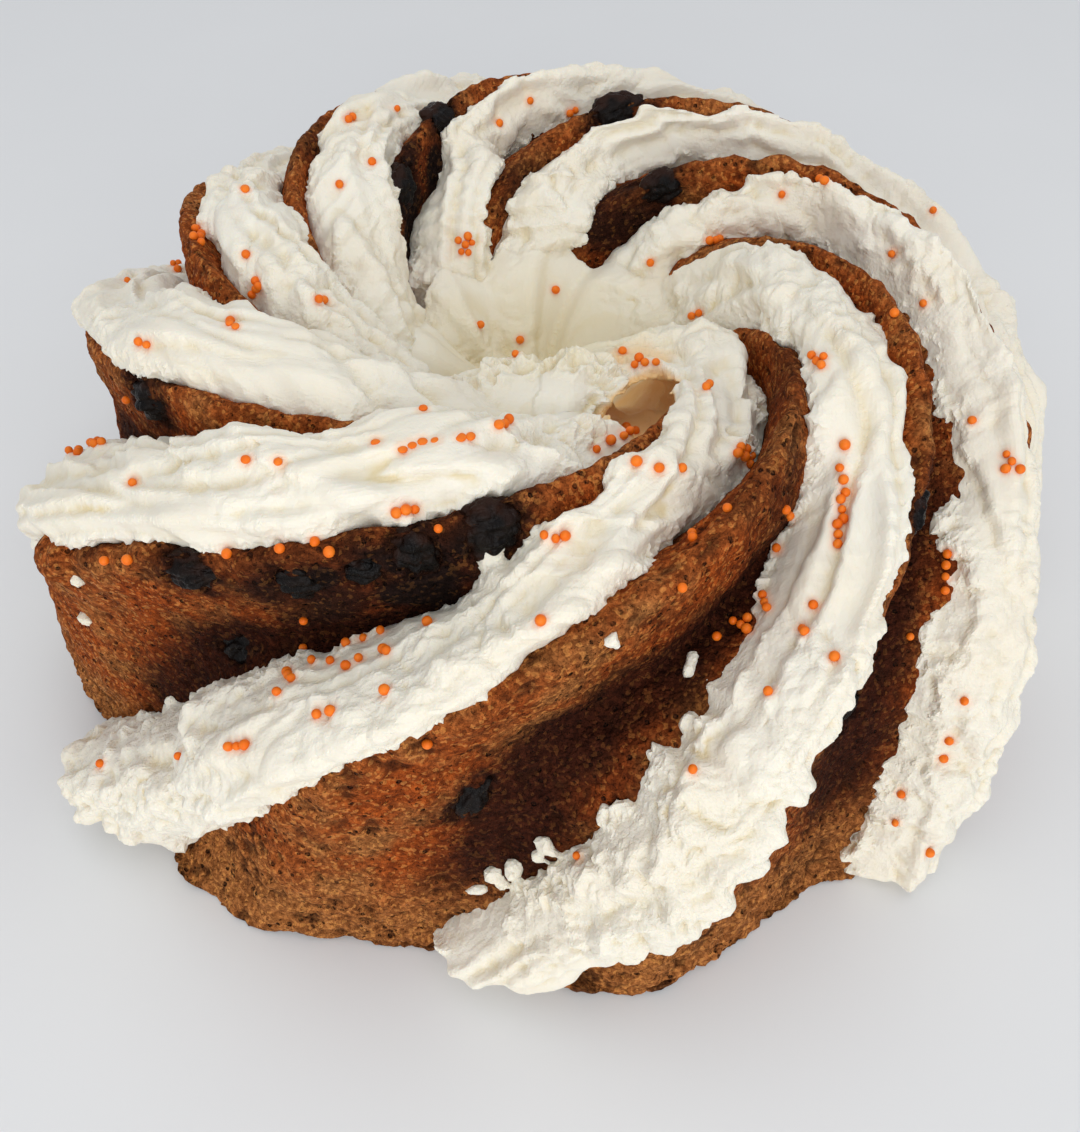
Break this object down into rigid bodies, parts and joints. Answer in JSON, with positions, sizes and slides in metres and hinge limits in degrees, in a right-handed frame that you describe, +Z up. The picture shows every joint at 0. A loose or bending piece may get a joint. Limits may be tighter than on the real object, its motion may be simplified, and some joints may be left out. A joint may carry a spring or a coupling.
{
  "type": "bundt cake",
  "caption": "Swirled bundt cake with dark berries baked into its sponge, torn white frosting spread along the winding grooves and small round orange sprinkles.",
  "frame": {"origin": "centre of the footprint, on the surface the cake stands on", "axes": "+Z up through the hole, -Y towards the front of the picture, +X to its right"},
  "size_m": [0.2608, 0.2604, 0.1111],
  "materials": {
    "sponge": "matt baked crumb",
    "frosting": "soft satin cream",
    "berry": "matt wrinkled skin"
  },
  "bodies": {
    "root": {"cake": "sponge", "frosting": "frosting", "berry_01": "berry", "berry_02": "berry", "berry_03": "berry", "berry_04": "berry", "berry_05": "berry", "berry_06": "berry", "berry_07": "berry", "berry_08": "berry", "berry_09": "berry", "berry_10": "berry", "berry_11": "berry", "berry_12": "berry", "berry_13": "berry", "berry_14": "berry", "berry_15": "berry", "berry_16": "berry"}
  },
  "joints": []
}
